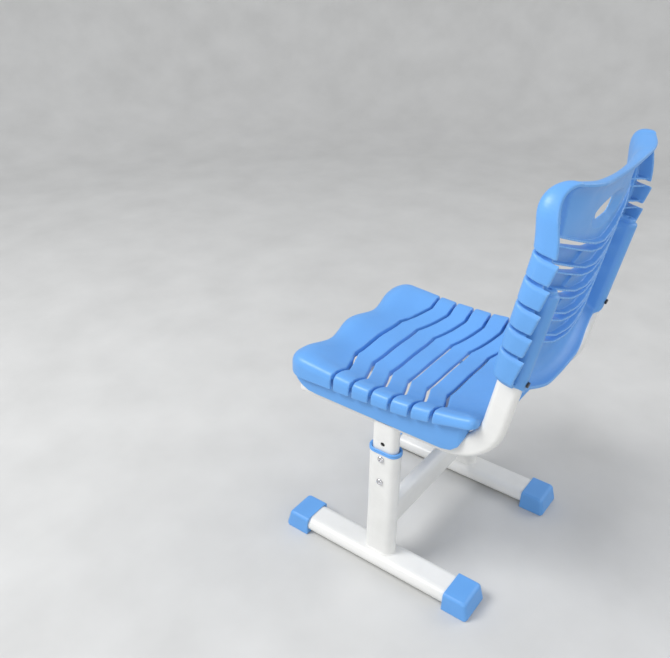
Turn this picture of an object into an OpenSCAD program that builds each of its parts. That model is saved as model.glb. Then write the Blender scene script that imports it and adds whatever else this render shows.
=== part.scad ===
// Student chair: twin-post base, height-adjustable seat frame, moulded seat pan and backrest.
// Millimetres. Origin on the floor under the middle of the chair, +Z up, the sitter faces -Y.
// Parts are drawn from the middle of the posts; stand() moves each one to its place.

/* [Base] */
// Distance between the centre lines of the two posts
post_spacing = 328; // [316:2:334]
// Long side of the flat-oval base tube
base_tube_wide = 60; // [58:1:62]
// Short side of the flat-oval base tube
base_tube_thick = 30; // [29.5:0.5:32]
// Wall of the base tube
base_tube_wall = 1.5; // [1.2:0.1:1.6]
// Overall length of the base over the end boots
base_length = 406; // [380:2:430]
// Height of the centre of the cross beam
beam_height = 104; // [90:1:130]
// Height of the open top of the posts
post_top = 262; // [256:1:264]

/* [End boots] */
// Length of one end boot
boot_length = 52.6; // [45:0.2:60]
// Width of the boot where it stands on the floor
boot_width = 67.6; // [66:0.2:72]
// Height of the boot
boot_height = 39.6; // [39:0.2:44]
// Thickness of the boot sole under the tube
sole_thickness = 5; // [4:0.5:6]

/* [Height adjustment] */
// Long side of the flat-oval inner tube
inner_tube_wide = 50; // [46:1:51]
// Short side of the flat-oval inner tube
inner_tube_thick = 24; // [22:0.5:24]
// Wall of the inner tube
inner_tube_wall = 1.5; // [1.2:0.1:2]
// Height of the lower end of the inner tube above the floor
inner_tube_foot = 96; // [90:1:120]
// Distance between adjusting holes
hole_pitch = 30; // [24:1:30]
// Diameter of an adjusting hole
hole_diameter = 8.5; // [7:0.5:10]
// Height of the upper clamping bolt
upper_bolt_height = 252; // [248:0.5:253]
// Distance between the two clamping bolts of one post
bolt_pitch = 50; // [40:1:60]
// Diameter of the domed bolt head
bolt_head = 13; // [11:0.5:15]

/* [Seat frame] */
// Long side of the flat-oval frame tube
frame_tube_wide = 40; // [39:0.5:40]
// Short side of the flat-oval frame tube
frame_tube_thick = 20; // [19:0.5:20]
// Wall of the frame tube
frame_tube_wall = 1.5; // [1.2:0.1:2]
// Height of the lower edge of the frame tube
frame_height = 316; // [316:0.5:317]
// Centre-line radius of the rear bend
bend_radius = 82; // [81:0.5:83]
// Lean of the backrest from upright, in degrees
lean = 9.6; // [9:0.2:10]
// Length of the leaning riser above the bend
riser_length = 228; // [215:1:229]

/* [Seat] */
// Overall width of the seat
seat_width = 382; // [378:2:388]
// Width of one cross slot in the seat
seat_slot = 5.6; // [4:0.2:7]
// Distance between neighbouring cross slots
seat_slot_pitch = 38.5; // [38:0.5:42]
// Thickness of the seat deck
deck_thickness = 5; // [4:0.5:6]

/* [Backrest] */
// Overall width of the backrest
back_width = 396; // [388:2:402]
// Thickness of the backrest panel
back_panel = 5; // [4:0.5:6]
// Radius of the hollow the sitter leans into
back_hollow_radius = 690; // [660:10:720]
// Height of one cross slot in the backrest
back_slot = 9; // [7:0.5:11]
// Distance between neighbouring cross slots
back_slot_pitch = 38.5; // [37:0.5:39]
// Width of the hand hole
hand_hole_width = 68; // [60:1:80]
// Height of the hand hole
hand_hole_height = 32; // [28:1:34]

/* [Hidden] */
smooth = 64;
post_x = post_spacing / 2;
rail_z = sole_thickness + base_tube_thick / 2;
rail_top = sole_thickness + base_tube_thick;
tube_end = base_length / 2 - 13;
boot_inner = base_length / 2 - boot_length;
bore_wide = base_tube_wide - 2 * base_tube_wall;
bore_thick = base_tube_thick - 2 * base_tube_wall;
bolt_shank = 8;
collar_height = 8;
collar_flare = 1;
liner_depth = 30;
slide_gap = 0.3;

frame_z = frame_height + frame_tube_wide / 2;
frame_front = -180;
bend_y = 110;
bend_z = frame_z + bend_radius;
riser_y = bend_y + bend_radius * cos(lean);
cross_gap = post_spacing - frame_tube_thick;
cross_wide = 36;
cross_thick = 18;
cross_rows = [-120, 70];

screw_shank = 5;
screw_head = 9;
seat_screw_x = 100;
seat_front = -205;
seat_rear = 170;
rim_depth = 24;
dish = 6;
skirt_low = 330;
rest_wide = 10;
rest_long = 270;
rest_gap = 0.2;
skirt_out = post_x + 16.5;
skirt_wall = 4;
// Side view of the rim: height along the seat from the front roll to the raised rear edge
rim_line = [[seat_front, 356], [seat_front + 3, 366], [seat_front + 10, 374], [seat_front + 24, 379],
            [-30, 380], [30, 386], [70, 393], [105, 402], [140, 410], [seat_rear, 414]];
// Plan of half a seat slot: straight middle, swept-back thighs, slightly forward ends
seat_slot_path = [[0, 0], [76, 0], [144, 29], [176, 28], [215, 26]];
seat_slot_first = -127;
seat_slots = 6;

back_half = back_width / 2;
back_front = -4;
back_rear = 16;
back_wall = 5;
back_foot = 30;
back_side_foot = 90;
back_top = 384;
back_peak = 390;
back_corner = 62;
socket_wall = 3;
socket_fit = 0.15;
socket_low = 55;
socket_high = 242;
// Elevation of half a backrest slot: low middle, rising arms, slightly lower ends
back_slot_path = [[0, 0], [43, 9], [150, 46], [205, 39]];
back_slot_first = 261;
back_slots = 5;
back_rib = 3;
hand_hole_up = 315;
back_screw_up = 92;

// Posts stand forward of the origin, which is under the middle of the whole chair
post_y = -(riser_y + back_rear * cos(lean) + back_peak * sin(lean) + seat_front) / 2;

blue = "CornflowerBlue";
white = "WhiteSmoke";
metal = "Silver";

function backwards(list) = [for (i = [len(list) - 1 : -1 : 0]) list[i]];
function lowered(points, by) = [for (p = points) [p[0], p[1] - by]];
function opposite(points) = [for (p = backwards(points)) [-p[0], p[1]]];
function arc(x, y, r, from, to, steps) =
    [for (i = [0 : steps]) [x + r * cos(from + (to - from) * i / steps),
                            y + r * sin(from + (to - from) * i / steps)]];

module stand() {
    translate([0, post_y, 0]) children();
}

// Flat-oval bar standing on the floor plane, long side along X.
module oval_bar(wide, thick, tall) {
    translate([-(wide - thick) / 2, -thick / 2, 0]) cube([wide - thick, thick, tall]);
    for (end = [-1, 1])
        translate([end * (wide - thick) / 2, 0, 0]) cylinder(d = thick, h = tall, $fn = smooth);
}

// Flat-oval tube standing on the floor plane, long side along X.
module oval_tube(wide, thick, wall, tall) {
    difference() {
        oval_bar(wide, thick, tall);
        translate([0, 0, -1]) oval_bar(wide - 2 * wall, thick - 2 * wall, tall + 2);
    }
}

// Flat-oval outline, long side along X.
module oval_outline(wide, thick) {
    translate([-(wide - thick) / 2, -thick / 2]) square([wide - thick, thick]);
    for (end = [-1, 1])
        translate([end * (wide - thick) / 2, 0]) circle(d = thick, $fn = smooth);
}

module mirrored(axis, side) {
    if (side < 0)
        mirror(axis) children();
    else
        children();
}

module foot_tube(side) {
    color(white) stand()
    translate([side * post_x, tube_end, rail_z])
    rotate([90, 0, 0])
    oval_tube(base_tube_wide, base_tube_thick, base_tube_wall, 2 * tube_end);
}

// Moulded boot over the end of a foot tube: tapered sides and a sloped outer end.
module boot(side, way) {
    half = boot_width / 2;
    outer = base_length / 2;
    color(blue) stand()
    translate([side * post_x, 0, 0])
    mirrored([0, 1, 0], way)
    difference() {
        intersection() {
            translate([0, outer, 0])
            rotate([90, 0, 0])
            linear_extrude(boot_length)
            polygon([[-half, 0], [half, 0], [half, 8], [half - 1.4, 33], [half - 6.8, boot_height],
                     [-half + 6.8, boot_height], [-half + 1.4, 33], [-half, 8]]);
            translate([-half - 1, 0, 0])
            rotate([90, 0, 90])
            linear_extrude(boot_width + 2)
            polygon([[boot_inner, 0], [outer, 0], [outer, 5], [outer - 7, boot_height - 5],
                     [outer - 11, boot_height], [boot_inner, boot_height]]);
        }
        translate([0, tube_end, rail_z])
        rotate([90, 0, 0])
        oval_bar(base_tube_wide + 0.2, base_tube_thick + 0.2, boot_length + 10);
    }
}

module post(side) {
    color(white) stand()
    difference() {
        translate([side * post_x, 0, rail_top])
        rotate([0, 0, 90])
        oval_tube(base_tube_wide, base_tube_thick, base_tube_wall, post_top - rail_top);
        for (step = [0, 1])
            translate([side * post_x, 0, upper_bolt_height - step * bolt_pitch])
            rotate([0, side * 90, 0])
            cylinder(d = bolt_shank + 0.4, h = base_tube_thick, $fn = 48);
    }
}

module cross_beam() {
    color(white) stand()
    translate([-(post_x - base_tube_thick / 2), 0, beam_height])
    rotate([0, 90, 0])
    oval_tube(base_tube_wide, base_tube_thick, base_tube_wall, post_spacing - base_tube_thick);
}

// Flared plastic ring on the open top of a post, with a short liner inside it.
module collar(side) {
    color(blue) stand()
    translate([side * post_x, 0, post_top])
    difference() {
        rotate([0, 0, 90])
        union() {
            oval_bar(base_tube_wide + collar_flare, base_tube_thick + collar_flare, collar_height);
            translate([0, 0, collar_height / 2])
            oval_bar(base_tube_wide + 2 * collar_flare, base_tube_thick + 2 * collar_flare,
                     collar_height / 2);
            translate([0, 0, -liner_depth])
            oval_bar(bore_wide - 0.2, bore_thick - 0.2, liner_depth + 1);
        }
        translate([0, 0, -liner_depth - 1])
        rotate([0, 0, 90])
        oval_bar(inner_tube_wide + 2 * slide_gap, inner_tube_thick + 2 * slide_gap,
                 liner_depth + collar_height + 2);
        translate([0, 0, upper_bolt_height - post_top])
        rotate([0, side * 90, 0])
        cylinder(d = bolt_shank + 1.2, h = base_tube_thick, $fn = 48);
    }
}

// Domed bolt seated on the outer face of a post, its tip just short of the inner tube.
module clamp_bolt() {
    seat = base_tube_thick / 2;
    tip = inner_tube_thick / 2 + slide_gap;
    rotate([0, 90, 0])
    rotate_extrude($fn = 48)
    polygon([[0, tip], [bolt_shank / 2, tip], [bolt_shank / 2, seat], [bolt_head / 2, seat],
             [bolt_head / 2, seat + 1.4], [bolt_head / 2 - 0.8, seat + 3],
             [bolt_head / 2 - 2.2, seat + 4.2], [bolt_head / 2 - 4, seat + 4.8], [0, seat + 5]]);
}

module clamp_bolts() {
    color(metal) stand()
    for (side = [-1, 1])
        for (step = [0, 1])
            translate([side * post_x, 0, upper_bolt_height - step * bolt_pitch])
            mirrored([1, 0, 0], side)
            clamp_bolt();
}

// Level part of a frame tube, running forward from the bend.
module level_bar(wide, thick, extra) {
    translate([0, bend_y, frame_z])
    rotate([90, 0, 0])
    rotate([0, 0, 90])
    oval_bar(wide, thick, bend_y - frame_front + extra);
}

// Frame tube as a solid: level under the seat, one bend, then the leaning riser.
module frame_bar(wide, thick, extra) {
    level_bar(wide, thick, extra);
    translate([0, bend_y, bend_z])
    rotate([0, 90, 0])
    rotate_extrude(angle = 90 - lean, $fn = 96)
    translate([bend_radius, 0])
    oval_outline(wide, thick);
    on_riser()
    rotate([0, 0, 90])
    oval_bar(wide, thick, riser_length + extra);
}

// Frame of the leaning riser: origin at the top of the bend, +Z up along the riser.
module on_riser() {
    translate([0, bend_y, bend_z])
    rotate([90 - lean, 0, 0])
    translate([0, 0, -bend_radius])
    rotate([-90, 0, 0])
    children();
}

module inner_tube(side) {
    color(white) stand()
    translate([side * post_x, 0, 0])
    difference() {
        translate([0, 0, inner_tube_foot])
        rotate([0, 0, 90])
        oval_tube(inner_tube_wide, inner_tube_thick, inner_tube_wall,
                  frame_height + frame_tube_thick / 2 - inner_tube_foot);
        level_bar(frame_tube_wide, frame_tube_thick, 0);
        for (step = [-1 : 5])
            translate([-inner_tube_thick, 0, upper_bolt_height - step * hole_pitch])
            rotate([0, 90, 0])
            cylinder(d = hole_diameter, h = 2 * inner_tube_thick, $fn = 48);
    }
}

module frame_tube(side) {
    color(white) stand()
    difference() {
        translate([side * post_x, 0, 0])
        difference() {
            frame_bar(frame_tube_wide, frame_tube_thick, 0);
            frame_bar(frame_tube_wide - 2 * frame_tube_wall,
                      frame_tube_thick - 2 * frame_tube_wall, 1);
        }
        on_riser()
        translate([side * post_x, frame_tube_wide / 2 - 6, back_screw_up])
        rotate([-90, 0, 0])
        cylinder(d = screw_shank + 0.4, h = 12, $fn = 32);
    }
}

// Tube across the frame under the seat, drilled for two seat screws.
module cross_tube(at) {
    color(white) stand()
    difference() {
        translate([-cross_gap / 2, at, frame_z])
        rotate([0, 90, 0])
        rotate([0, 0, 90])
        oval_tube(cross_wide, cross_thick, frame_tube_wall, cross_gap);
        for (side = [-1, 1])
            translate([side * seat_screw_x, at, frame_z - cross_thick])
            cylinder(d = screw_shank + 0.4, h = 2 * cross_thick, $fn = 32);
    }
}

// Plan of the seat, taken in by a margin all round.
module seat_plan(margin) {
    half = seat_width / 2 - margin;
    front = seat_front + margin;
    rear = seat_rear - margin;
    round_front = 34 - margin;
    round_rear = max(16 - margin, 4);
    right = concat(arc(half - round_front, front + round_front, round_front, -90, 0, 8),
                   arc(half - round_rear, rear - round_rear, round_rear, 0, 90, 8));
    polygon(concat(right, opposite(right)));
}

// Solid across the seat between two heights that follow the rim line.
module under_rim(high, low) {
    translate([-seat_width, 0, 0])
    rotate([90, 0, 90])
    linear_extrude(2 * seat_width)
    polygon(concat(lowered(rim_line, high), backwards(lowered(rim_line, low))));
}

module seat_shell() {
    difference() {
        intersection() {
            under_rim(0, rim_depth);
            linear_extrude(500) seat_plan(0);
        }
        intersection() {
            under_rim(-20, dish);
            linear_extrude(500) seat_plan(22);
        }
        intersection() {
            under_rim(dish + deck_thickness, 60);
            linear_extrude(500) seat_plan(5);
        }
    }
}

// Wall that hangs under the seat and hides the frame tubes.
module seat_skirt() {
    high = rim_line[len(rim_line) - 1][1];
    intersection() {
        difference() {
            translate([-skirt_out, seat_front + 14, 0])
            cube([2 * skirt_out, 341, 500]);
            translate([-skirt_out + skirt_wall, seat_front + 14 + skirt_wall, -1])
            cube([2 * (skirt_out - skirt_wall), 341, 502]);
        }
        under_rim(dish + deck_thickness - 1, 90);
        translate([-seat_width, 0, 0])
        rotate([90, 0, 90])
        linear_extrude(2 * seat_width)
        polygon([[seat_front, skirt_low + 12], [seat_front + 30, skirt_low], [118, skirt_low],
                 [136, skirt_low + 8], [146, skirt_low + 24], [150, skirt_low + 46], [150, high],
                 [seat_front, high]]);
    }
}

// Ledges that rest on the frame tubes and bosses that take the seat screws.
module seat_rests() {
    for (side = [-1, 1]) {
        intersection() {
            translate([side * post_x - rest_wide / 2, frame_front + 10, frame_z])
            cube([rest_wide, rest_long, 100]);
            under_rim(dish + deck_thickness - 1, 90);
        }
        for (row = cross_rows)
            intersection() {
                translate([side * seat_screw_x, row, frame_z + cross_thick / 2])
                cylinder(d = 13, h = 100, $fn = 48);
                under_rim(dish + deck_thickness - 1, 90);
            }
    }
}

module seat_slot_cuts() {
    for (i = [0 : seat_slots - 1]) {
        half = [for (p = seat_slot_path) [p[0], p[1] + seat_slot_first + i * seat_slot_pitch]];
        path = concat(opposite(half), half);
        front = [for (p = path) [p[0], p[1] - seat_slot / 2]];
        rear = [for (p = path) [p[0], p[1] + seat_slot / 2]];
        translate([0, 0, frame_height + frame_tube_wide + 1])
        linear_extrude(100)
        polygon(concat(front, backwards(rear)));
    }
}

module seat_pan() {
    color(blue) stand()
    difference() {
        union() {
            seat_shell();
            seat_skirt();
            seat_rests();
        }
        intersection() {
            seat_slot_cuts();
            under_rim(-20, rim_depth + 1);
        }
        for (side = [-1, 1]) {
            for (row = cross_rows)
                translate([side * seat_screw_x, row, 0])
                cylinder(d = screw_shank + 0.2, h = frame_z + cross_thick / 2 + 14, $fn = 32);
            translate([side * post_x, 0, 0])
            frame_bar(frame_tube_wide + 2 * rest_gap, frame_tube_thick + 2 * rest_gap, 0);
        }
    }
}

// Pan-head screw pointing up, its head resting under the floor plane.
module pan_screw(length) {
    translate([0, 0, -3]) cylinder(d = screw_head, h = 3, $fn = 32);
    cylinder(d = screw_shank, h = length, $fn = 32);
}

module seat_screws() {
    color(metal) stand()
    for (side = [-1, 1])
        for (row = cross_rows)
            translate([side * seat_screw_x, row, frame_z - cross_thick / 2])
            pan_screw(cross_thick + 12);
}

// Front outline of the backrest, taken in by a margin all round.
module back_outline(margin) {
    side = back_half - margin;
    foot_radius = 395;
    foot_span = asin(146 / foot_radius);
    corner = back_corner - margin;
    dip = 1520;
    dip_span = asin((back_half - back_corner) / dip);
    right = concat(arc(0, back_foot + margin + foot_radius, foot_radius, -90, -90 + foot_span, 8),
                   [[back_half - 48, back_side_foot - 32 + margin],
                    [back_half - 22, back_side_foot - 4 + margin],
                    [side, back_side_foot + margin]],
                   arc(side - corner, back_peak - back_corner, corner, 0, 90, 10),
                   arc(0, back_top - margin + dip, dip, -90 + dip_span, -90, 6));
    polygon(concat(right, opposite(right)));
}

// Everything on the sitter's side of a surface set back from the front of the panel.
module sitter_side(back) {
    translate([0, back_front - back_hollow_radius, -100])
    cylinder(r = back_hollow_radius + back, h = 700, $fn = 360);
}

module back_block(margin) {
    translate([0, back_rear, 0])
    rotate([90, 0, 0])
    linear_extrude(70)
    back_outline(margin);
}

module back_slot_cuts() {
    for (i = [0 : back_slots - 1]) {
        half = [for (p = back_slot_path) [p[0], p[1] + back_slot_first - i * back_slot_pitch]];
        path = concat(opposite(half), half);
        low = [for (p = path) [p[0], p[1] - back_slot / 2]];
        high = [for (p = path) [p[0], p[1] + back_slot / 2]];
        translate([0, 60, 0])
        rotate([90, 0, 0])
        linear_extrude(120)
        polygon(concat(low, backwards(high)));
    }
}

module hand_hole_cut() {
    translate([0, 60, hand_hole_up])
    rotate([90, 0, 0])
    oval_bar(hand_hole_width, hand_hole_height, 120);
}

// Upright ribs behind the panel, from the sockets to the top.
module back_ribs() {
    intersection() {
        for (side = [-1, 1])
            for (at = [post_x - 12, post_x + 10])
                translate([side * at - back_rib / 2, -40, socket_high - 10])
                cube([back_rib, 40 + back_rear - 4, 200]);
        back_block(2);
    }
}

module back_sockets() {
    for (side = [-1, 1])
        translate([side * post_x, 0, socket_low])
        rotate([0, 0, 90])
        oval_bar(frame_tube_wide + 2 * socket_wall, frame_tube_thick + 2 * socket_wall,
                 socket_high - socket_low);
}

module backrest() {
    color(blue) stand()
    on_riser()
    difference() {
        union() {
            difference() {
                back_block(0);
                difference() {
                    back_block(back_wall);
                    sitter_side(back_panel);
                }
                back_slot_cuts();
            }
            back_sockets();
            back_ribs();
        }
        sitter_side(0);
        hand_hole_cut();
        for (side = [-1, 1]) {
            translate([side * post_x, 0, socket_low - 1])
            rotate([0, 0, 90])
            oval_bar(frame_tube_wide + 2 * socket_fit, frame_tube_thick + 2 * socket_fit,
                     riser_length + 3 - socket_low);
            translate([side * post_x, frame_tube_wide / 2 - 1, back_screw_up])
            rotate([-90, 0, 0])
            cylinder(d = screw_shank + 0.4, h = 12, $fn = 32);
        }
    }
}

module back_screws() {
    color(metal) stand()
    on_riser()
    for (side = [-1, 1])
        translate([side * post_x, frame_tube_wide / 2 + socket_wall, back_screw_up])
        rotate([90, 0, 0])
        pan_screw(9);
}

foot_tube(1);  // foot_tube_left
foot_tube(-1);  // foot_tube_right
boot(1, -1);  // boot_front_left
boot(-1, -1);  // boot_front_right
boot(1, 1);  // boot_rear_left
boot(-1, 1);  // boot_rear_right
post(1);  // post_left
post(-1);  // post_right
cross_beam();
collar(1);  // collar_left
collar(-1);  // collar_right
clamp_bolts();
inner_tube(1);  // inner_tube_left
inner_tube(-1);  // inner_tube_right
frame_tube(1);  // frame_tube_left
frame_tube(-1);  // frame_tube_right
cross_tube(cross_rows[0]);  // front_cross_tube
cross_tube(cross_rows[1]);  // rear_cross_tube
seat_pan();
seat_screws();
backrest();
back_screws();
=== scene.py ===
"""Looks of the height-adjustable student chair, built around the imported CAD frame."""

import math

import bmesh
import bpy
import numpy as np
from mathutils import Matrix, Vector


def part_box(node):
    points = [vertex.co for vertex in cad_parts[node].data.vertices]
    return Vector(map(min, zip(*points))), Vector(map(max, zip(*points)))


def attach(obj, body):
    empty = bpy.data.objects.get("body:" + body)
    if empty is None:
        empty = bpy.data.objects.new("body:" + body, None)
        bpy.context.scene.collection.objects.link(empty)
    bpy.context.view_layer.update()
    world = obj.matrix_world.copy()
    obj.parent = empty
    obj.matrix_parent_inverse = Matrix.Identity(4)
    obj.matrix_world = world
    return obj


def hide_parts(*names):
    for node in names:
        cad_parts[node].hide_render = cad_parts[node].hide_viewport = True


MM = 0.001
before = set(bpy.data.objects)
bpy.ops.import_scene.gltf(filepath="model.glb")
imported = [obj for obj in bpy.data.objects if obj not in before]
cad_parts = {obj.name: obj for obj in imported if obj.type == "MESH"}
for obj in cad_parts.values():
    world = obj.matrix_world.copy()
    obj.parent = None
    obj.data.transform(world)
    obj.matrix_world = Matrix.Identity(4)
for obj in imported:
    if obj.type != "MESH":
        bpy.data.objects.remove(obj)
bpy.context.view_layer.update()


def span(node):
    """Lowest and highest corner of a CAD node, in millimetres."""
    low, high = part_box(node)
    return np.array(low) / MM, np.array(high) / MM


post_low, post_high = span("post_left")
seat_low, seat_high = span("seat_pan")
collar_high = span("collar_left")[1]
boot_low, boot_high = span("boot_rear_left")

# The chair is drawn from the middle of its posts, as in the CAD source.
POST_Y = (post_low[1] + post_high[1]) / 2
POST_X = (post_low[0] + post_high[0]) / 2

# ---------------------------------------------------------------- shape fields
# A field holds, at each grid point, about how far the point is outside the solid (negative inside).


class Grid:
    """A box of evenly spaced points, in millimetres."""

    def __init__(self, low, high, step):
        self.low = np.array(low, float)
        self.step = step
        counts = [int(math.ceil((h - l) / step)) + 1 for l, h in zip(low, high)]
        lines = [l + step * np.arange(n) for l, n in zip(low, counts)]
        self.x = lines[0][:, None, None].astype(np.float32)
        self.y = lines[1][None, :, None].astype(np.float32)
        self.z = lines[2][None, None, :].astype(np.float32)


def join(a, b, fillet=0.0):
    """Union of two fields, with a fillet in the corner between them."""
    if np.isscalar(fillet) and fillet <= 0:
        return np.minimum(a, b)
    reach = np.maximum(fillet - np.abs(a - b), 0) / fillet
    return np.minimum(a, b) - reach * reach * fillet / 4


def meet(a, b, fillet=0.0):
    """Overlap of two fields, with a rounded edge where they meet."""
    return -join(-a, -b, fillet)


def cut(a, b, fillet=0.0):
    """Field a without field b, with a rounded edge along the cut."""
    return meet(a, -b, fillet)


def smooth_step(low, high, at):
    """Share from 0 at low to 1 at high, level at both ends."""
    share = np.clip((at - low) / (high - low), 0, 1)
    return share * share * (3 - 2 * share)


def curve_through(points, at):
    """Smooth line through (place, value) points, read at every value of the array at."""
    places = np.array([p[0] for p in points], float)
    values = np.array([p[1] for p in points], float)
    slopes = np.gradient(values, places)
    at = np.clip(at, places[0], places[-1])
    left = np.clip(np.searchsorted(places, at) - 1, 0, len(places) - 2)
    width = places[left + 1] - places[left]
    t = (at - places[left]) / width
    rise = values[left] * (1 + 2 * t) * (1 - t) ** 2 + values[left + 1] * t * t * (3 - 2 * t)
    return rise + width * (slopes[left] * t * (1 - t) ** 2 + slopes[left + 1] * t * t * (t - 1))


def path_distance(u, v, points):
    """Distance in a plane to an open line of points."""
    nearest = np.full(np.broadcast(u, v).shape, 1e9, np.float32)
    for (u0, v0), (u1, v1) in zip(points, points[1:]):
        du, dv = u1 - u0, v1 - v0
        if du == dv == 0:
            continue
        share = np.clip(((u - u0) * du + (v - v0) * dv) / (du * du + dv * dv), 0, 1)
        nearest = np.minimum(nearest, np.hypot(u - u0 - share * du, v - v0 - share * dv))
    return nearest


def outline_distance(u, v, points):
    """Signed distance in a plane to a closed outline, negative inside."""
    closed = list(points) + [points[0]]
    inside = np.zeros(np.broadcast(u, v).shape, bool)
    for (u0, v0), (u1, v1) in zip(closed, closed[1:]):
        if v0 == v1:
            continue
        crosses = (v0 > v) != (v1 > v)
        inside ^= crosses & (u < (u1 - u0) * (v - v0) / (v1 - v0) + u0)
    distance = path_distance(u, v, closed)
    return np.where(inside, -distance, distance)


def oval_distance(u, v, long, short):
    """Signed distance in a plane to a flat oval, its long side along u."""
    flat = (long - short) / 2
    return np.hypot(np.maximum(np.abs(u) - flat, 0), v) - short / 2


def arc_points(x, y, radius, start, end, steps):
    """Points along an arc, from one angle to another in degrees."""
    angles = np.radians(np.linspace(start, end, steps + 1))
    return [(x + radius * math.cos(a), y + radius * math.sin(a)) for a in angles]


def two_sided(half):
    """A closed outline from its right half, listed from bottom middle to top middle."""
    return half + [(-x, y) for x, y in reversed(half)]


def surface_of(field, grid):
    """Corners and four-sided faces of the skin where the field changes sign."""
    inside = field < 0
    cells = tuple(n - 1 for n in field.shape)
    total = np.zeros(cells + (3,), np.float32)
    count = np.zeros(cells, np.uint8)
    for axis in range(3):
        others = [a for a in range(3) if a != axis]
        first = [slice(None)] * 3
        second = [slice(None)] * 3
        first[axis], second[axis] = slice(0, -1), slice(1, None)
        a, b = field[tuple(first)], field[tuple(second)]
        crossing = inside[tuple(first)] != inside[tuple(second)]
        share = np.where(crossing, a / np.where(crossing, a - b, 1), 0).astype(np.float32)
        for shift in ((0, 0), (0, 1), (1, 0), (1, 1)):
            window = [slice(None)] * 3
            for other, offset in zip(others, shift):
                window[other] = slice(offset, offset + cells[other])
            hit = crossing[tuple(window)]
            count += hit
            total[..., axis] += share[tuple(window)]
            for other, offset in zip(others, shift):
                total[..., other] += hit * offset
    active = count > 0
    number = np.full(cells, -1, np.int32)
    number[active] = np.arange(int(active.sum()))
    corner = np.argwhere(active)
    corners = grid.low + grid.step * (corner + total[active] / count[active][:, None])
    faces = []
    for axis in range(3):
        others = [a for a in range(3) if a != axis]
        inner = [slice(None)] * 3
        far = [slice(None)] * 3
        inner[axis], far[axis] = slice(0, -1), slice(1, None)
        for other in others:
            inner[other] = far[other] = slice(1, -1)
        low, high = inside[tuple(inner)], inside[tuple(far)]
        ring = []
        for shift in ((-1, -1), (0, -1), (0, 0), (-1, 0)):
            window = [slice(None)] * 3
            for other, offset in zip(others, shift):
                window[other] = slice(1 + offset, 1 + offset + field.shape[other] - 2)
            ring.append(number[tuple(window)])
        flip = axis == 1
        for mask, backwards in ((low & ~high, flip), (high & ~low, not flip)):
            quad = np.stack([r[mask] for r in ring], 1)
            faces.append(quad[:, ::-1] if backwards else quad)
    return corners, np.concatenate(faces)


def mesh_object(name, corners, faces, place, body, material, triangles=None):
    """A smooth piece from a skin in millimetres, put at a place in the chair's own millimetres."""
    mesh = bpy.data.meshes.new(name)
    points = np.array(place.to_3x3(), float) @ corners.T
    points = (points.T + np.array(place.translation)) * MM
    mesh.vertices.add(len(points))
    mesh.vertices.foreach_set("co", points.astype(np.float32).ravel())
    mesh.loops.add(faces.size)
    mesh.loops.foreach_set("vertex_index", faces.astype(np.int32).ravel())
    mesh.polygons.add(len(faces))
    mesh.polygons.foreach_set("loop_start", np.arange(0, faces.size, 4, dtype=np.int32))
    mesh.update(calc_edges=True)
    mesh.validate()
    mesh.shade_smooth()
    piece = bpy.data.objects.new(name, mesh)
    bpy.context.scene.collection.objects.link(piece)
    mesh.materials.append(material)
    if triangles:
        thin = piece.modifiers.new("thin", "DECIMATE")
        thin.ratio = min(1.0, triangles / (2.0 * len(faces)))
    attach(piece, body)
    return piece


def rounded_tube(name, loop, radius, place, body, material):
    """A closed bead along a loop of points in millimetres, such as a painted weld."""
    curve = bpy.data.curves.new(name, "CURVE")
    curve.dimensions = "3D"
    curve.bevel_depth = radius * MM
    curve.bevel_resolution = 3
    line = curve.splines.new("POLY")
    line.points.add(len(loop) - 1)
    for point, spot in zip(line.points, loop):
        point.co = (*(place @ Vector(spot) * MM), 1)
    line.use_cyclic_u = True
    shape = bpy.data.objects.new(name + "_line", curve)
    bpy.context.scene.collection.objects.link(shape)
    bpy.context.view_layer.update()
    mesh = bpy.data.meshes.new_from_object(shape)
    bpy.data.objects.remove(shape)
    mesh.name = name
    mesh.shade_smooth()
    mesh.materials.clear()
    mesh.materials.append(material)
    bead = bpy.data.objects.new(name, mesh)
    bpy.context.scene.collection.objects.link(bead)
    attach(bead, body)
    return bead


# ---------------------------------------------------------------- materials


def new_material(name):
    """A material with its nodes, links, shader and the object coordinates to place patterns by."""
    material = bpy.data.materials.new(name)
    material.use_nodes = True
    nodes = material.node_tree.nodes
    shader = nodes["Principled BSDF"]
    place = nodes.new("ShaderNodeTexCoord")
    return material, nodes, material.node_tree.links, shader, place.outputs["Object"]


def noise(nodes, links, place, scale, detail=4.0, roughness=0.5):
    """Value of a noise pattern, from 0 to 1."""
    texture = nodes.new("ShaderNodeTexNoise")
    texture.inputs["Scale"].default_value = scale
    texture.inputs["Detail"].default_value = detail
    texture.inputs["Roughness"].default_value = roughness
    links.new(place, texture.inputs["Vector"])
    return texture.outputs["Fac"]


def ramp(nodes, links, value, low, high, from_low=0.3, from_high=0.7):
    """Turns a 0 to 1 value into a colour or a grey between low and high."""
    turned = nodes.new("ShaderNodeValToRGB")
    turned.color_ramp.elements[0].position = from_low
    turned.color_ramp.elements[1].position = from_high
    for element, colour in zip(turned.color_ramp.elements, (low, high)):
        grey = not hasattr(colour, "__len__")
        element.color = (colour, colour, colour, 1) if grey else (*colour, 1)
    links.new(value, turned.inputs["Fac"])
    return turned.outputs["Color"]


def mixed(nodes, links, share, a, b, kind="MIX"):
    """Blend of two colours or sockets by a share or socket."""
    mix = nodes.new("ShaderNodeMix")
    mix.data_type = "RGBA"
    mix.blend_type = kind
    for socket, value in ((mix.inputs["Factor"], share), (mix.inputs["A"], a), (mix.inputs["B"], b)):
        if isinstance(value, bpy.types.NodeSocket):
            links.new(value, socket)
        elif hasattr(value, "__len__"):
            socket.default_value = (*value, 1)
        else:
            socket.default_value = value
    return mix.outputs["Result"]


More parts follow.
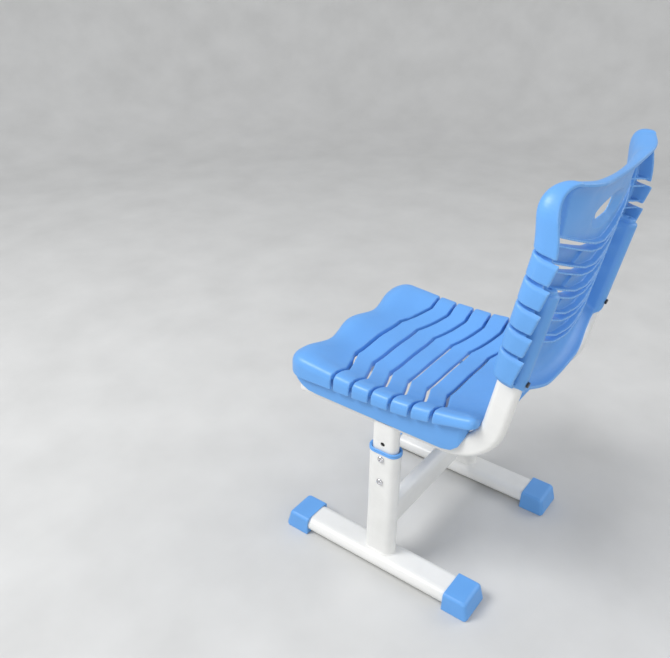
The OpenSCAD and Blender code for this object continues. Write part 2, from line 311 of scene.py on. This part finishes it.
def bumps(nodes, links, shader, layers):
    """Stacks bump layers of (height value, strength, depth in millimetres) on a shader."""
    last = None
    for height, strength, depth in layers:
        bump = nodes.new("ShaderNodeBump")
        bump.inputs["Strength"].default_value = strength
        bump.inputs["Distance"].default_value = depth * MM
        links.new(height, bump.inputs["Height"])
        if last:
            links.new(last, bump.inputs["Normal"])
        last = bump.outputs["Normal"]
    links.new(last, shader.inputs["Normal"])


def moulded_plastic(name, base, edge_highlight_colour):
    """Satin moulded plastic: slow colour drift, a painted highlight along sharp edges broken into
    patches, fine grain.
    """
    material, nodes, links, shader, place = new_material(name)
    drift = noise(nodes, links, place, 9, 3)
    shade = [c * 0.93 for c in base]
    colour = ramp(nodes, links, drift, shade, base, 0.35, 0.65)
    geometry = nodes.new("ShaderNodeNewGeometry")
    # Sharp edges found by pointiness get a painted highlight in the paler colour, broken into patches by
    # a fine speckle.
    edge = ramp(nodes, links, geometry.outputs["Pointiness"], 0.0, 1.0, 0.515, 0.58)
    speckle = noise(nodes, links, place, 260, 5, 0.65)
    patchy_edge_highlight = mixed(nodes, links, 1.0, edge, ramp(nodes, links, speckle, 0.25, 0.8, 0.4, 0.6), "MULTIPLY")
    links.new(mixed(nodes, links, patchy_edge_highlight, colour, edge_highlight_colour), shader.inputs["Base Color"])
    gloss = ramp(nodes, links, noise(nodes, links, place, 45, 5, 0.6), 0.34, 0.46)
    links.new(gloss, shader.inputs["Roughness"])
    grain = noise(nodes, links, place, 1500, 2)
    flow = noise(nodes, links, place, 28, 3)
    bumps(nodes, links, shader, [(flow, 0.12, 0.6), (grain, 0.18, 0.05)])
    shader.inputs["Specular IOR Level"].default_value = 0.5
    return material


def powder_coat(name, base, dull):
    """Baked powder paint on steel: fine orange peel, faint handling marks."""
    material, nodes, links, shader, place = new_material(name)
    drift = noise(nodes, links, place, 14, 5, 0.6)
    colour = ramp(nodes, links, drift, dull, base, 0.25, 0.55)
    rubbed = ramp(nodes, links, noise(nodes, links, place, 90, 8, 0.75), 0.0, 0.35, 0.62, 0.75)
    marks = [c * 0.86 for c in dull]
    links.new(mixed(nodes, links, rubbed, colour, marks), shader.inputs["Base Color"])
    gloss = ramp(nodes, links, noise(nodes, links, place, 60, 4), 0.3, 0.42)
    links.new(gloss, shader.inputs["Roughness"])
    peel = noise(nodes, links, place, 520, 2)
    wave = noise(nodes, links, place, 120, 2)
    bumps(nodes, links, shader, [(wave, 0.12, 0.15), (peel, 0.22, 0.06)])
    shader.inputs["Coat Weight"].default_value = 0.15
    shader.inputs["Coat Roughness"].default_value = 0.2
    return material


def plated_steel(name, base, rough):
    """Plated screw metal with fine scratches."""
    material, nodes, links, shader, place = new_material(name)
    drift = noise(nodes, links, place, 300, 6, 0.7)
    links.new(ramp(nodes, links, drift, [c * 0.75 for c in base], base), shader.inputs["Base Color"])
    gloss = ramp(nodes, links, noise(nodes, links, place, 900, 4), rough, rough + 0.16)
    links.new(gloss, shader.inputs["Roughness"])
    bumps(nodes, links, shader, [(noise(nodes, links, place, 2400, 3), 0.15, 0.02)])
    shader.inputs["Metallic"].default_value = 1.0
    return material


# The second colour of the blue plastic is the paler painted highlight on its sharp edges.
BLUE = moulded_plastic("sky_blue_plastic", (0.138, 0.388, 0.830), (0.300, 0.560, 0.900))
WHITE = powder_coat("white_powder_coat", (0.830, 0.830, 0.810), (0.770, 0.770, 0.750))
CHROME = plated_steel("bolt_chrome", (0.800, 0.800, 0.820), 0.14)
DARK_STEEL = plated_steel("dark_screw_steel", (0.100, 0.100, 0.105), 0.32)

for node_name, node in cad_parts.items():
    tube = "tube" in node_name or "post" in node_name or "beam" in node_name
    finish = WHITE if tube else BLUE
    if node_name == "back_screws":
        finish = DARK_STEEL
    elif "screws" in node_name or "bolts" in node_name:
        finish = CHROME
    node.data.materials.clear()
    node.data.materials.append(finish)

STAND = Matrix.Translation((0, POST_Y, 0))

# ---------------------------------------------------------------- seat

SEAT_HALF = seat_high[0]
SEAT_FRONT = seat_low[1] - POST_Y
SEAT_REAR = seat_high[1] - POST_Y
FRONT_CORNER = 38
REAR_CORNER = 15
# Height of the top of the side rims, along the seat
RIM_TOP = [(SEAT_FRONT, 396), (-183, 401), (-150, 400), (-104, 397), (-65, 395), (-25, 395), (20, 396),
           (61, 400), (104, 407), (140, 413), (SEAT_REAR, 420)]
# Height of the lower edge of the side rims, along the seat
RIM_LOW = [(SEAT_FRONT, 359), (-171, 358), (-110, 360), (-65, 361), (-25, 364), (36, 368),
           (104, 380), (140, 389), (SEAT_REAR, 395)]
# Height of the sitting surface on the centre line, along the seat
DECK_TOP = [(SEAT_FRONT, 393), (-183, 394), (-150, 384), (-125, 374), (-90, 366), (-55, 360), (-14, 357),
            (26, 356), (65, 357), (110, 363), (SEAT_REAR, 374)]
# How far the surface has risen from the centre height to the rim height, across the seat
BOWL = [(0, 0), (70, 0), (110, 0.2), (144, 0.53), (170, 0.85), (188, 1), (200, 1)]
RIM_ROUNDING = 10
# The surface rolls down towards its edge over this width, by up to this drop, short of upright by a share
ROLL_WIDE = 38
ROLL_DROP = 14
ROLL_SHARE = 0.96
DECK = 5
# How far the edge hangs below the top where there is no deep rim
EDGE_HANG = 8
# How far the pieces under the deck reach into it
SUNK = 2
# Waves at the front: distance from lobe to lobe, depth in height and depth in plan
THIGH_PITCH = 146
THIGH_DEPTH = 3.5
THIGH_FADE = (-200, -60)
FRONT_WAVE = 6
FRONT_WAVE_END = 150
SEAT_SLOT_WIDTH = 5.6
SEAT_SLOT_PITCH = 38.5
SEAT_SLOT_FIRST = -127
SEAT_SLOTS = 6
SEAT_SLOT_HALF_PATH = [(0, 0), (76, 0), (144, 29), (176, 28), (215, 26)]
SLOT_DEPTH = 17
LIP_WALL = 2.6
LIP_DEPTH = 14
SKIRT_OUT = 180.5
SKIRT_WALL = 4
SKIRT_CORNER = 14
SKIRT_MIDDLE = -21
SKIRT_LONG = 346
SKIRT_SIDE = [(-194, 356), (-172, 337), (-158, 331), (-140, 330), (112, 330), (128, 334),
              (140, 345), (149, 366), (152, 390), (152, 440), (-194, 440)]
FRAME_Z = 336
CROSS_TUBE_TOP = FRAME_Z + 9
BEND_Y = 110
BEND_RADIUS = 82
TUBE_WIDE = 40
TUBE_THICK = 20
SCREW_X = 100
SCREW_ROWS = (-120, 70)
BOSS_RADIUS = 6.5
REST_WIDE = 10
REST_LONG = 270
REST_MIDDLE = -35
TUBE_GAP = 0.4


def seat_outline():
    """Plan of the seat: waved front, rounded corners, straight sides."""
    right = [(x, SEAT_FRONT + FRONT_WAVE - FRONT_WAVE * math.cos(2 * math.pi * x / THIGH_PITCH))
             for x in np.linspace(0, FRONT_WAVE_END, 16)]
    right += arc_points(SEAT_HALF - FRONT_CORNER, SEAT_FRONT + FRONT_CORNER, FRONT_CORNER, -85, 0, 10)
    right += arc_points(SEAT_HALF - REAR_CORNER, SEAT_REAR - REAR_CORNER, REAR_CORNER, 0, 90, 6)
    return two_sided(right + [(0, SEAT_REAR)])


def seat_top(x, y):
    """Height of the seat surface before its edges are rounded."""
    side = np.abs(x)
    rim = curve_through(RIM_TOP, y)
    deck = curve_through(DECK_TOP, y)
    wave = THIGH_DEPTH * (1 - np.cos(2 * np.pi * np.minimum(side, THIGH_PITCH) / THIGH_PITCH))
    wave = wave * (1 - smooth_step(*THIGH_FADE, y))
    return deck + (rim - deck) * curve_through(BOWL, side) - wave


def seat_slots(x, y):
    """Field of the cross slots, right through the seat."""
    slots = np.float32(1e3)
    for i in range(SEAT_SLOTS):
        half = [(px, py + SEAT_SLOT_FIRST + i * SEAT_SLOT_PITCH) for px, py in SEAT_SLOT_HALF_PATH]
        slots = np.minimum(slots, path_distance(np.abs(x), y, half) - SEAT_SLOT_WIDTH / 2)
    return slots


def seat_shell(y, z, plan, top):
    """Field of the deck and the rims that hang from it."""
    low = np.minimum(curve_through(RIM_LOW, y), top - EDGE_HANG)
    skin = meet(plan, z - top, RIM_ROUNDING)
    shell = meet(skin, low - z, 2)
    hollow = meet(plan + DECK + 0.5, z - top + DECK, RIM_ROUNDING)
    return cut(shell, hollow, 1)


def seat_skirt(x, y, z):
    """Field of the wall that hides the frame tubes, with rounded corners in plan."""
    past_side = np.abs(x) - SKIRT_OUT
    past_end = np.abs(y - SKIRT_MIDDLE) - SKIRT_LONG / 2
    box = np.maximum(past_side, past_end)
    round_box = np.hypot(np.maximum(past_side + SKIRT_CORNER, 0), np.maximum(past_end + SKIRT_CORNER, 0))
    outer = np.where(box < -SKIRT_CORNER, box, round_box - SKIRT_CORNER)
    return meet(np.abs(outer + SKIRT_WALL / 2) - SKIRT_WALL / 2, outline_distance(y, z, SKIRT_SIDE), 1.5)


def tube_clearance(x, y, z, gap):
    """Field of the two frame tubes under and behind the seat, grown by a gap."""
    across = np.abs(x) - POST_X
    radial = np.hypot(y - BEND_Y, z - FRAME_Z - BEND_RADIUS) - BEND_RADIUS
    in_bend = (y > BEND_Y) & (z < FRAME_Z + BEND_RADIUS)
    along = np.where(in_bend, radial, z - FRAME_Z)
    behind = (y > BEND_Y) & ~in_bend
    return np.where(behind, 1e3, oval_distance(along, across, TUBE_WIDE, TUBE_THICK) - gap)


def seat_field(grid):
    """Field of the whole seat: shell, slot lips, skirt, screw bosses and the ledges on the tubes."""
    x, y, z = grid.x, grid.y, grid.z
    plan = outline_distance(x, y, seat_outline())
    inward = np.clip(1 + plan / ROLL_WIDE, 0, 1)
    top = seat_top(x, y) - ROLL_DROP * (1 - np.sqrt(1 - ROLL_SHARE * inward * inward))
    under_deck = z - top + DECK - SUNK
    slots = seat_slots(x, y)
    under_slots = meet(slots, top - SLOT_DEPTH - z)
    lips = meet(slots - LIP_WALL, np.maximum(top - LIP_DEPTH, CROSS_TUBE_TOP + 1) - z, 1)
    lips = meet(meet(lips, under_deck), plan + DECK)
    shell = cut(join(seat_shell(y, z, plan, top), lips, 1.5), slots, 3)
    seat = join(shell, cut(meet(seat_skirt(x, y, z), under_deck), under_slots), 3)
    for row in SCREW_ROWS:
        boss = np.hypot(np.abs(x) - SCREW_X, y - row) - BOSS_RADIUS
        boss = meet(meet(boss, CROSS_TUBE_TOP - z), under_deck)
        seat = join(seat, cut(boss, slots), 3)
    rest = np.maximum(np.abs(np.abs(x) - POST_X) - REST_WIDE / 2, np.abs(y - REST_MIDDLE) - REST_LONG / 2)
    rest = meet(meet(rest, FRAME_Z - z), under_deck)
    seat = join(seat, cut(rest, under_slots), 2)
    return cut(seat, tube_clearance(x, y, z, TUBE_GAP), 1)


def build_seat(step):
    """The seat moulding, in place of the CAD seat pan."""
    grid = Grid((-SEAT_HALF - 4, SEAT_FRONT - 4, 326), (SEAT_HALF + 4, SEAT_REAR + 4, 426), step)
    corners, faces = surface_of(seat_field(grid), grid)
    seat = mesh_object("seat", corners, faces, STAND, "upper", BLUE, FINE_FACES)
    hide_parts("seat_pan")


# ---------------------------------------------------------------- backrest

LEAN = math.radians(9.6)
RISER_Y = BEND_Y + BEND_RADIUS * math.cos(LEAN)
RISER_Z = FRAME_Z + BEND_RADIUS - BEND_RADIUS * math.sin(LEAN)
RISER = STAND @ Matrix.Translation((0, RISER_Y, RISER_Z)) @ Matrix.Rotation(-LEAN, 4, "X")
BACK_HALF = 198
BACK_FRONT = -4
BACK_REAR = 16
BACK_HOLLOW = 690
BACK_WALL = 5
BACK_PANEL = 5
BACK_TOP = 384
BACK_PEAK = 393
BACK_CORNER = 48
WING_FORWARD = 20
BACK_FOOT = 30
# Corner of the foot, from the end of its bow up to the straight side
FOOT_CORNER = [(161, 74), (178, 87), (191, 92), (BACK_HALF, 101)]
FOOT_RADIUS = 335
FOOT_HALF = 146
FOOT_ZONE = (60, 120)
FOOT_FLARE = 15
TOP_DIP_RADIUS = 1520
CORNER_FORWARD = 5
SIDE_FORWARD = 4
TOOTH = 5
BACK_SLOTS = 5
BACK_SLOT_FIRST = 261
BACK_SLOT_PITCH = 38.5
SLOT_WIDE = 9.2
SLOT_NARROW = 5.6
KINK_FIRST = 43
KINK_SHIFT = 4
KINK_RISE = 9
# Rise of a slot above its middle, past the kink
SLOT_ARM = [(150, 46), (180, 42), (215, 38)]
FIELD_THICK = 5.5
SLAT_THICK = 4.5
LENS_HALF_WIDE = 66
LENS_HALF_TALL = 25
LENS_DEPTH = 8
LENS_STEEPNESS = 3
HAND_HOLE_FLAT = 16
HAND_HOLE_RADIUS = 13.5
HAND_HOLE_UP = 315
SOCKET_TOP = 242
SOCKET_FOOT = 55
RISER_TOP = 231


def back_outline():
    """Front view of the backrest: low bowed foot, straight sides, raised rounded corners."""
    foot_span = math.degrees(math.asin(FOOT_HALF / FOOT_RADIUS))
    dip_span = math.degrees(math.asin((BACK_HALF - BACK_CORNER) / TOP_DIP_RADIUS))
    right = arc_points(0, BACK_FOOT + FOOT_RADIUS, FOOT_RADIUS, -90, -90 + foot_span, 8)
    right += FOOT_CORNER
    right += arc_points(BACK_HALF - BACK_CORNER, BACK_PEAK - BACK_CORNER, BACK_CORNER, 0, 90, 12)
    right += arc_points(0, BACK_TOP + TOP_DIP_RADIUS, TOP_DIP_RADIUS, -90 + dip_span, -90, 6)
    return two_sided(right)


def slot_kink(i):
    """How far from the middle cross slot i first bends."""
    return KINK_FIRST + KINK_SHIFT * i


def slot_height(i, side):
    """Centre height of cross slot i at a distance from the middle."""
    places, rises = zip((0, 0), (slot_kink(i), KINK_RISE), *SLOT_ARM)
    return BACK_SLOT_FIRST - i * BACK_SLOT_PITCH + np.interp(side, places, rises)


def slot_slope(i, side):
    """How much steeper than level slot i runs, to keep its width even."""
    ahead = slot_height(i, side + 1) - slot_height(i, side - 1)
    return np.sqrt(1 + (ahead / 2) ** 2)


def back_rear(side, z):
    """Rear edge of the outer wall: forward at the top corners, flared at the foot."""
    rear = BACK_REAR - CORNER_FORWARD * smooth_step(322, 392, z) * smooth_step(115, 185, side)
    rear = rear - SIDE_FORWARD * smooth_step(120, 180, side)
    flare = FOOT_FLARE * (1 - smooth_step(50, 145, side)) * (1 - smooth_step(*FOOT_ZONE, z))
    teeth = 0
    for i in range(BACK_SLOTS):
        below = (slot_height(i, side) - z) / BACK_SLOT_PITCH
        teeth = teeth + np.where((below > 0) & (below <= 1), TOOTH * (1 - below), 0)
    return rear + flare + teeth * smooth_step(178, 184, side)


def panel_thickness(side, z):
    """Thickness of the panel behind its front face, in front of the slats and the top field."""
    thick = BACK_PANEL + 0 * side + 0 * z
    above = z - slot_height(0, side)
    field = smooth_step(5, 7, above) * (1 - smooth_step(139, 142, side))
    thick = thick + FIELD_THICK * field
    for i in range(BACK_SLOTS - 1):
        crease = slot_kink(i) + 1.2 * (slot_height(i, slot_kink(i)) - z)
        middle = 1 - smooth_step(crease - 1.5, crease + 1.5, side)
        between = (z < slot_height(i, side)) & (z > slot_height(i + 1, side))
        thick = thick + np.where(between, SLAT_THICK * middle, 0)
    lens = np.hypot(side / LENS_HALF_WIDE, (z - HAND_HOLE_UP) / LENS_HALF_TALL)
    return thick - LENS_DEPTH * np.clip(LENS_STEEPNESS * (1 - lens), 0, 1)


def back_slots(side, z, outside):
    """Field of the cross slots, narrower and bevelled below where they leave the sides."""
    wide = SLOT_WIDE - (SLOT_WIDE - SLOT_NARROW) * smooth_step(140, 185, side)
    field = None
    for i in range(BACK_SLOTS):
        rise = (z - slot_height(i, side)) / slot_slope(i, side)
        bevel = np.clip(5 + outside, 0, 5) * smooth_step(180, 190, side)
        slot = np.maximum(rise - wide / 2, -rise - wide / 2 - bevel)
        field = slot if field is None else np.minimum(field, slot)
    return field


def back_lips(side, z):
    """Field of the thin ribs that edge the cross slots at the back, seen from behind."""
    field = None
    for i in range(BACK_SLOTS):
        rise = np.abs(z - slot_height(i, side)) / slot_slope(i, side)
        lip = np.abs(rise - SLOT_WIDE / 2 - 1.5) - 1.5
        field = lip if field is None else np.minimum(field, lip)
    return np.maximum(field, side - 193)


def back_field(grid):
    """Field of the whole backrest, in the frame of the leaning risers."""
    x, z = grid.x, grid.z
    side = np.abs(x)
    y = grid.y + WING_FORWARD * smooth_step(290, 395, z) * smooth_step(90, 195, side)
    behind = np.hypot(x, y - BACK_FRONT + BACK_HOLLOW) - BACK_HOLLOW
    outside = outline_distance(x, z, back_outline())
    rear = back_rear(side, z)
    foot = 1 - smooth_step(*FOOT_ZONE, z)
    edge = 30 + 6 * foot
    face = meet(-behind, outside, edge)
    body = meet(face, y - rear, 3)
    thick = panel_thickness(side, z)
    hollow = meet(thick - behind, outside + BACK_WALL + 1.5 * foot, edge - 4)
    body = cut(body, hollow, 1.5)
    slots = back_slots(side, z, outside)
    body = cut(body, slots, 1.6)
    lip_rear = np.maximum(17 - side * side / 864, 0.36 * side - 63)
    lips = meet(meet(back_lips(side, z), y - lip_rear), face + 2)
    body = join(body, lips, 1.5)
    ribs = np.minimum(np.abs(side - POST_X + 5), np.abs(side - POST_X - 12)) - 1.4
    ribs = meet(ribs, SOCKET_TOP - 12 - z)
    ribs = meet(meet(ribs, y - rear + 18), face + 2)
    body = join(body, ribs, 2)
    socket = oval_distance(y, side - POST_X, 46, 26)
    socket = meet(meet(socket, SOCKET_FOOT - z, 3), z - SOCKET_TOP, 5)
    cap = meet(oval_distance(y, side - POST_X, 36, 16), z - SOCKET_TOP - 6, 3)
    cap = meet(cap, SOCKET_TOP - 4 - z)
    cap = cut(cap, meet(np.hypot(side - POST_X, y - 6) - 2.6, SOCKET_TOP - z), 1)
    body = join(body, meet(join(socket, cap, 1), face + 0.5), 4)
    bore = meet(oval_distance(y, side - POST_X, 40.4, 20.4), z - RISER_TOP)
    body = cut(body, bore, 1)
    hole = np.hypot(np.maximum(side - HAND_HOLE_FLAT, 0), z - HAND_HOLE_UP) - HAND_HOLE_RADIUS
    return cut(body, hole, 3)


def build_back(step):
    """The backrest moulding, in place of the CAD backrest."""
    grid = Grid((-BACK_HALF - 4, -62, 24), (BACK_HALF + 4, 38, 401), step)
    corners, faces = surface_of(back_field(grid), grid)
    back = mesh_object("back", corners, faces, RISER, "upper", BLUE, FINE_FACES)
    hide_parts("backrest")


# ---------------------------------------------------------------- boots, collars, bolts, welds

BOOT_HALF = boot_high[0] - POST_X
BOOT_LENGTH = boot_high[1] - boot_low[1]
BOOT_HEIGHT = boot_high[2]
TUBE_SHORT_OF_END = 13
RAIL_Z = 20


def boot_field(grid):
    """Boot with its inner end at y = 0 and its sloped end at y = length."""
    x, y, z = grid.x, grid.y, grid.z
    half = [(0, 0), (BOOT_HALF, 0), (BOOT_HALF - 0.3, 8), (BOOT_HALF - 1.8, 33),
            (BOOT_HALF - 4.6, BOOT_HEIGHT), (0, BOOT_HEIGHT)]
    across = outline_distance(x, z, two_sided(half))
    end = (y - BOOT_LENGTH + 1 + np.maximum(z - 6, 0) * 0.24) * 0.97
    shell = meet(meet(across, end, 8), z - BOOT_HEIGHT, 9)
    shell = meet(meet(shell, -y, 1.5), -z, 1.5)
    tube = meet(oval_distance(x, z - RAIL_Z, 60.3, 30.3), y - BOOT_LENGTH + TUBE_SHORT_OF_END)
    return cut(shell, tube, 1.2)


def build_boots():
    """The four boots, in place of the CAD ones."""
    grid = Grid((-BOOT_HALF - 3, -3, -3), (BOOT_HALF + 3, BOOT_LENGTH + 3, BOOT_HEIGHT + 3), 0.9)
    corners, faces = surface_of(boot_field(grid), grid)
    inner = boot_low[1] - POST_Y
    for side, side_name in ((1, "left"), (-1, "right")):
        for way, way_name in ((1, "rear"), (-1, "front")):
            spot = Matrix.Translation((side * POST_X, way * inner, 0))
            turn = Matrix.Rotation(0 if way > 0 else math.pi, 4, "Z")
            name = f"boot_{way_name}_{side_name}"
            boot = mesh_object(name + "_moulding", corners, faces, STAND @ spot @ turn,
                               "base", BLUE)
            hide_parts(name)


def collar_field(grid):
    """Ring on a post: two rolled ridges with a groove between them."""
    x, y, z = grid.x, grid.y, grid.z
    oval = oval_distance(y, x, 60, 30)
    up = z - collar_high[2] + 8
    core = meet(meet(oval - 0.3, -up), up - 7.6, 1)
    low = np.hypot(oval, up - 1.4) - 1.4
    high = np.hypot(oval + 0.6, up - 5.8) - 2.1
    ring = join(core, join(low, high), 1.2)
    throat = oval_distance(y, x, 50.8, 24.8)
    funnel = throat - 1.6 * smooth_step(4, 8, up)
    return cut(ring, funnel, 1)


def build_collars():
    """The two collar rings, in place of the CAD ones."""
    low = (-20, -35, collar_high[2] - 10)
    grid = Grid(low, (20, 35, collar_high[2] + 2), 0.5)
    corners, faces = surface_of(collar_field(grid), grid)
    for side, side_name in ((1, "left"), (-1, "right")):
        place = STAND @ Matrix.Translation((side * POST_X, 0, 0))
        ring = mesh_object(f"collar_{side_name}_ring", corners, faces, place,
                           "base", BLUE)
        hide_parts(f"collar_{side_name}")


BOLT_HEIGHTS = (252, 202)
BOLT_HEAD = 6.5


def bolt_field(grid):
    """Domed head with a six-sided socket, its seat at x = 0, and its shank behind."""
    x, y, z = grid.x, grid.y, grid.z
    radius = np.hypot(y, z)
    dome = np.hypot(radius, x + 3.4) - 8.3
    head = meet(meet(dome, radius - BOLT_HEAD, 1), -x)
    flats = [np.abs(y * math.cos(a) + z * math.sin(a)) for a in np.radians((0, 60, 120))]
    socket = meet(np.maximum(np.maximum(flats[0], flats[1]), flats[2]) - 2.5, 2 - x)
    shank = meet(meet(radius - 4, x - 1), -2.2 - x)
    return join(cut(head, socket, 0.5), shank)


def build_bolts():
    """The four clamp bolts, in place of the one CAD node that holds them all."""
    grid = Grid((-3, -8, -8), (6, 8, 8), 0.25)
    corners, faces = surface_of(bolt_field(grid), grid)
    for side, side_name in ((1, "left"), (-1, "right")):
        for order, height in zip(("upper", "lower"), BOLT_HEIGHTS):
            spot = Matrix.Translation((side * (POST_X + 15), 0, height))
            turn = Matrix.Rotation(0 if side > 0 else math.pi, 4, "Z")
            bolt = mesh_object(f"bolt_{side_name}_{order}", corners, faces, STAND @ spot @ turn,
                               "base", CHROME)
            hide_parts("clamp_bolts")


def oval_loop(long, short, steps=72):
    """Points round a flat oval, its long side along x."""
    flat = (long - short) / 2
    right = arc_points(flat, 0, short / 2, -90, 90, steps // 2)
    left = arc_points(-flat, 0, short / 2, 90, 270, steps // 2)
    return right + left


WELD_RADIUS = 1.5


def build_welds():
    """Painted weld beads where the tubes of the base and of the seat frame meet."""
    for side, side_name in ((1, "left"), (-1, "right")):
        post = Matrix.Translation((side * POST_X, 0, 35.4)) @ Matrix.Rotation(math.pi / 2, 4, "Z")
        loop = [(x, y, 0) for x, y in oval_loop(60, 30)]
        rounded_tube(f"weld_post_{side_name}", loop, WELD_RADIUS, STAND @ post,
                     "base", WHITE)
        beam = Matrix.Translation((side * (POST_X - 15.4), 0, 104)) @ Matrix.Rotation(math.pi / 2, 4, "Y")
        loop = [(x, y, 0) for x, y in oval_loop(60, 30)]
        rounded_tube(f"weld_beam_{side_name}", loop, WELD_RADIUS, STAND @ beam,
                     "base", WHITE)
        for row in SCREW_ROWS:
            cross = Matrix.Translation((side * (POST_X - 10.3), row, FRAME_Z))
            loop = [(0, y, z) for y, z in oval_loop(36, 18)]
            row_name = "front" if row < 0 else "rear"
            rounded_tube(f"weld_{row_name}_cross_{side_name}", loop, WELD_RADIUS, STAND @ cross,
                         "upper", WHITE)


# ---------------------------------------------------------------- room, lights, camera


def build_room():
    """Pale round floor that curves up into a wall all round."""
    flat, bend, top = 2.6, 1.2, 3.2
    profile = [(0.0, 0.0), (flat, 0.0)]
    profile += [(flat + bend * math.sin(a), bend - bend * math.cos(a))
                for a in np.radians(np.linspace(7.5, 90, 12))]
    profile += [(flat + bend, top)]
    mesh = bpy.data.meshes.new("floor")
    shape = bmesh.new()
    line = [shape.verts.new((r, 0, z)) for r, z in profile]
    edges = [shape.edges.new(pair) for pair in zip(line, line[1:])]
    bmesh.ops.spin(shape, geom=line + edges, axis=(0, 0, 1), cent=(0, 0, 0),
                   steps=96, angle=2 * math.pi, use_merge=True)
    bmesh.ops.remove_doubles(shape, verts=shape.verts, dist=1e-5)
    bmesh.ops.recalc_face_normals(shape, faces=shape.faces)
    shape.to_mesh(mesh)
    shape.free()
    mesh.shade_smooth()
    floor = bpy.data.objects.new("floor", mesh)
    bpy.context.scene.collection.objects.link(floor)
    material, nodes, links, shader, place = new_material("pale_floor")
    tone = ramp(nodes, links, noise(nodes, links, place, 6, 4), (0.60, 0.60, 0.59), (0.66, 0.66, 0.65))
    links.new(tone, shader.inputs["Base Color"])
    shader.inputs["Roughness"].default_value = 0.75
    mesh.materials.append(material)


def area_light(name, place, aim, size, power):
    """A soft round light at a place, turned to its aim."""
    lamp = bpy.data.lights.new(name, "AREA")
    lamp.shape = "DISK"
    lamp.size = size
    lamp.energy = power
    holder = bpy.data.objects.new(name, lamp)
    holder.location = place
    holder.rotation_euler = (Vector(aim) - Vector(place)).to_track_quat("-Z", "Y").to_euler()
    bpy.context.scene.collection.objects.link(holder)


def build_lights():
    """Key, fill and back lights with a pale even sky."""
    middle = (0, 0, 0.4)
    area_light("key", (1.7, -1.4, 2.6), middle, 1.4, 66)
    area_light("fill", (2.4, 1.8, 1.6), middle, 2.2, 20)
    area_light("back", (-1.8, 1.6, 2.2), middle, 1.8, 20)
    world = bpy.data.worlds.new("studio")
    world.use_nodes = True
    sky = world.node_tree.nodes["Background"]
    sky.inputs["Color"].default_value = (0.93, 0.95, 1.0, 1)
    sky.inputs["Strength"].default_value = 0.6
    bpy.context.scene.world = world


CAMERA_YAW = math.radians(-143.86)
CAMERA_PITCH = math.radians(29.43)
CAMERA_ROLL = math.radians(0.70)
CAMERA_SPOT = (1054.66, 537.73, 1087.35)
FOCAL_SHARE = 753.44 / 670


def build_camera():
    """The camera, above and behind the left of the chair."""
    lens = bpy.data.cameras.new("camera")
    lens.sensor_width = 36
    lens.lens = 36 * FOCAL_SHARE
    camera = bpy.data.objects.new("camera", lens)
    flat = math.cos(CAMERA_PITCH)
    ahead = Vector((math.cos(CAMERA_YAW) * flat, math.sin(CAMERA_YAW) * flat, -math.sin(CAMERA_PITCH)))
    right = ahead.cross(Vector((0, 0, 1))).normalized()
    up = right.cross(ahead)
    turned = right * math.cos(CAMERA_ROLL) + up * math.sin(CAMERA_ROLL)
    upright = up * math.cos(CAMERA_ROLL) - right * math.sin(CAMERA_ROLL)
    axes = Matrix((turned, upright, -ahead)).transposed().to_4x4()
    spot = (Vector(CAMERA_SPOT) + Vector((0, POST_Y, 0))) * MM
    camera.matrix_world = Matrix.Translation(spot) @ axes
    bpy.context.scene.collection.objects.link(camera)
    bpy.context.scene.camera = camera


FINE_FACES = 190000
STEP = 1.5

build_seat(STEP)
build_back(STEP)
build_boots()
build_collars()
build_bolts()
build_welds()
build_room()
build_lights()
build_camera()
bpy.context.scene.view_settings.view_transform = "Standard"
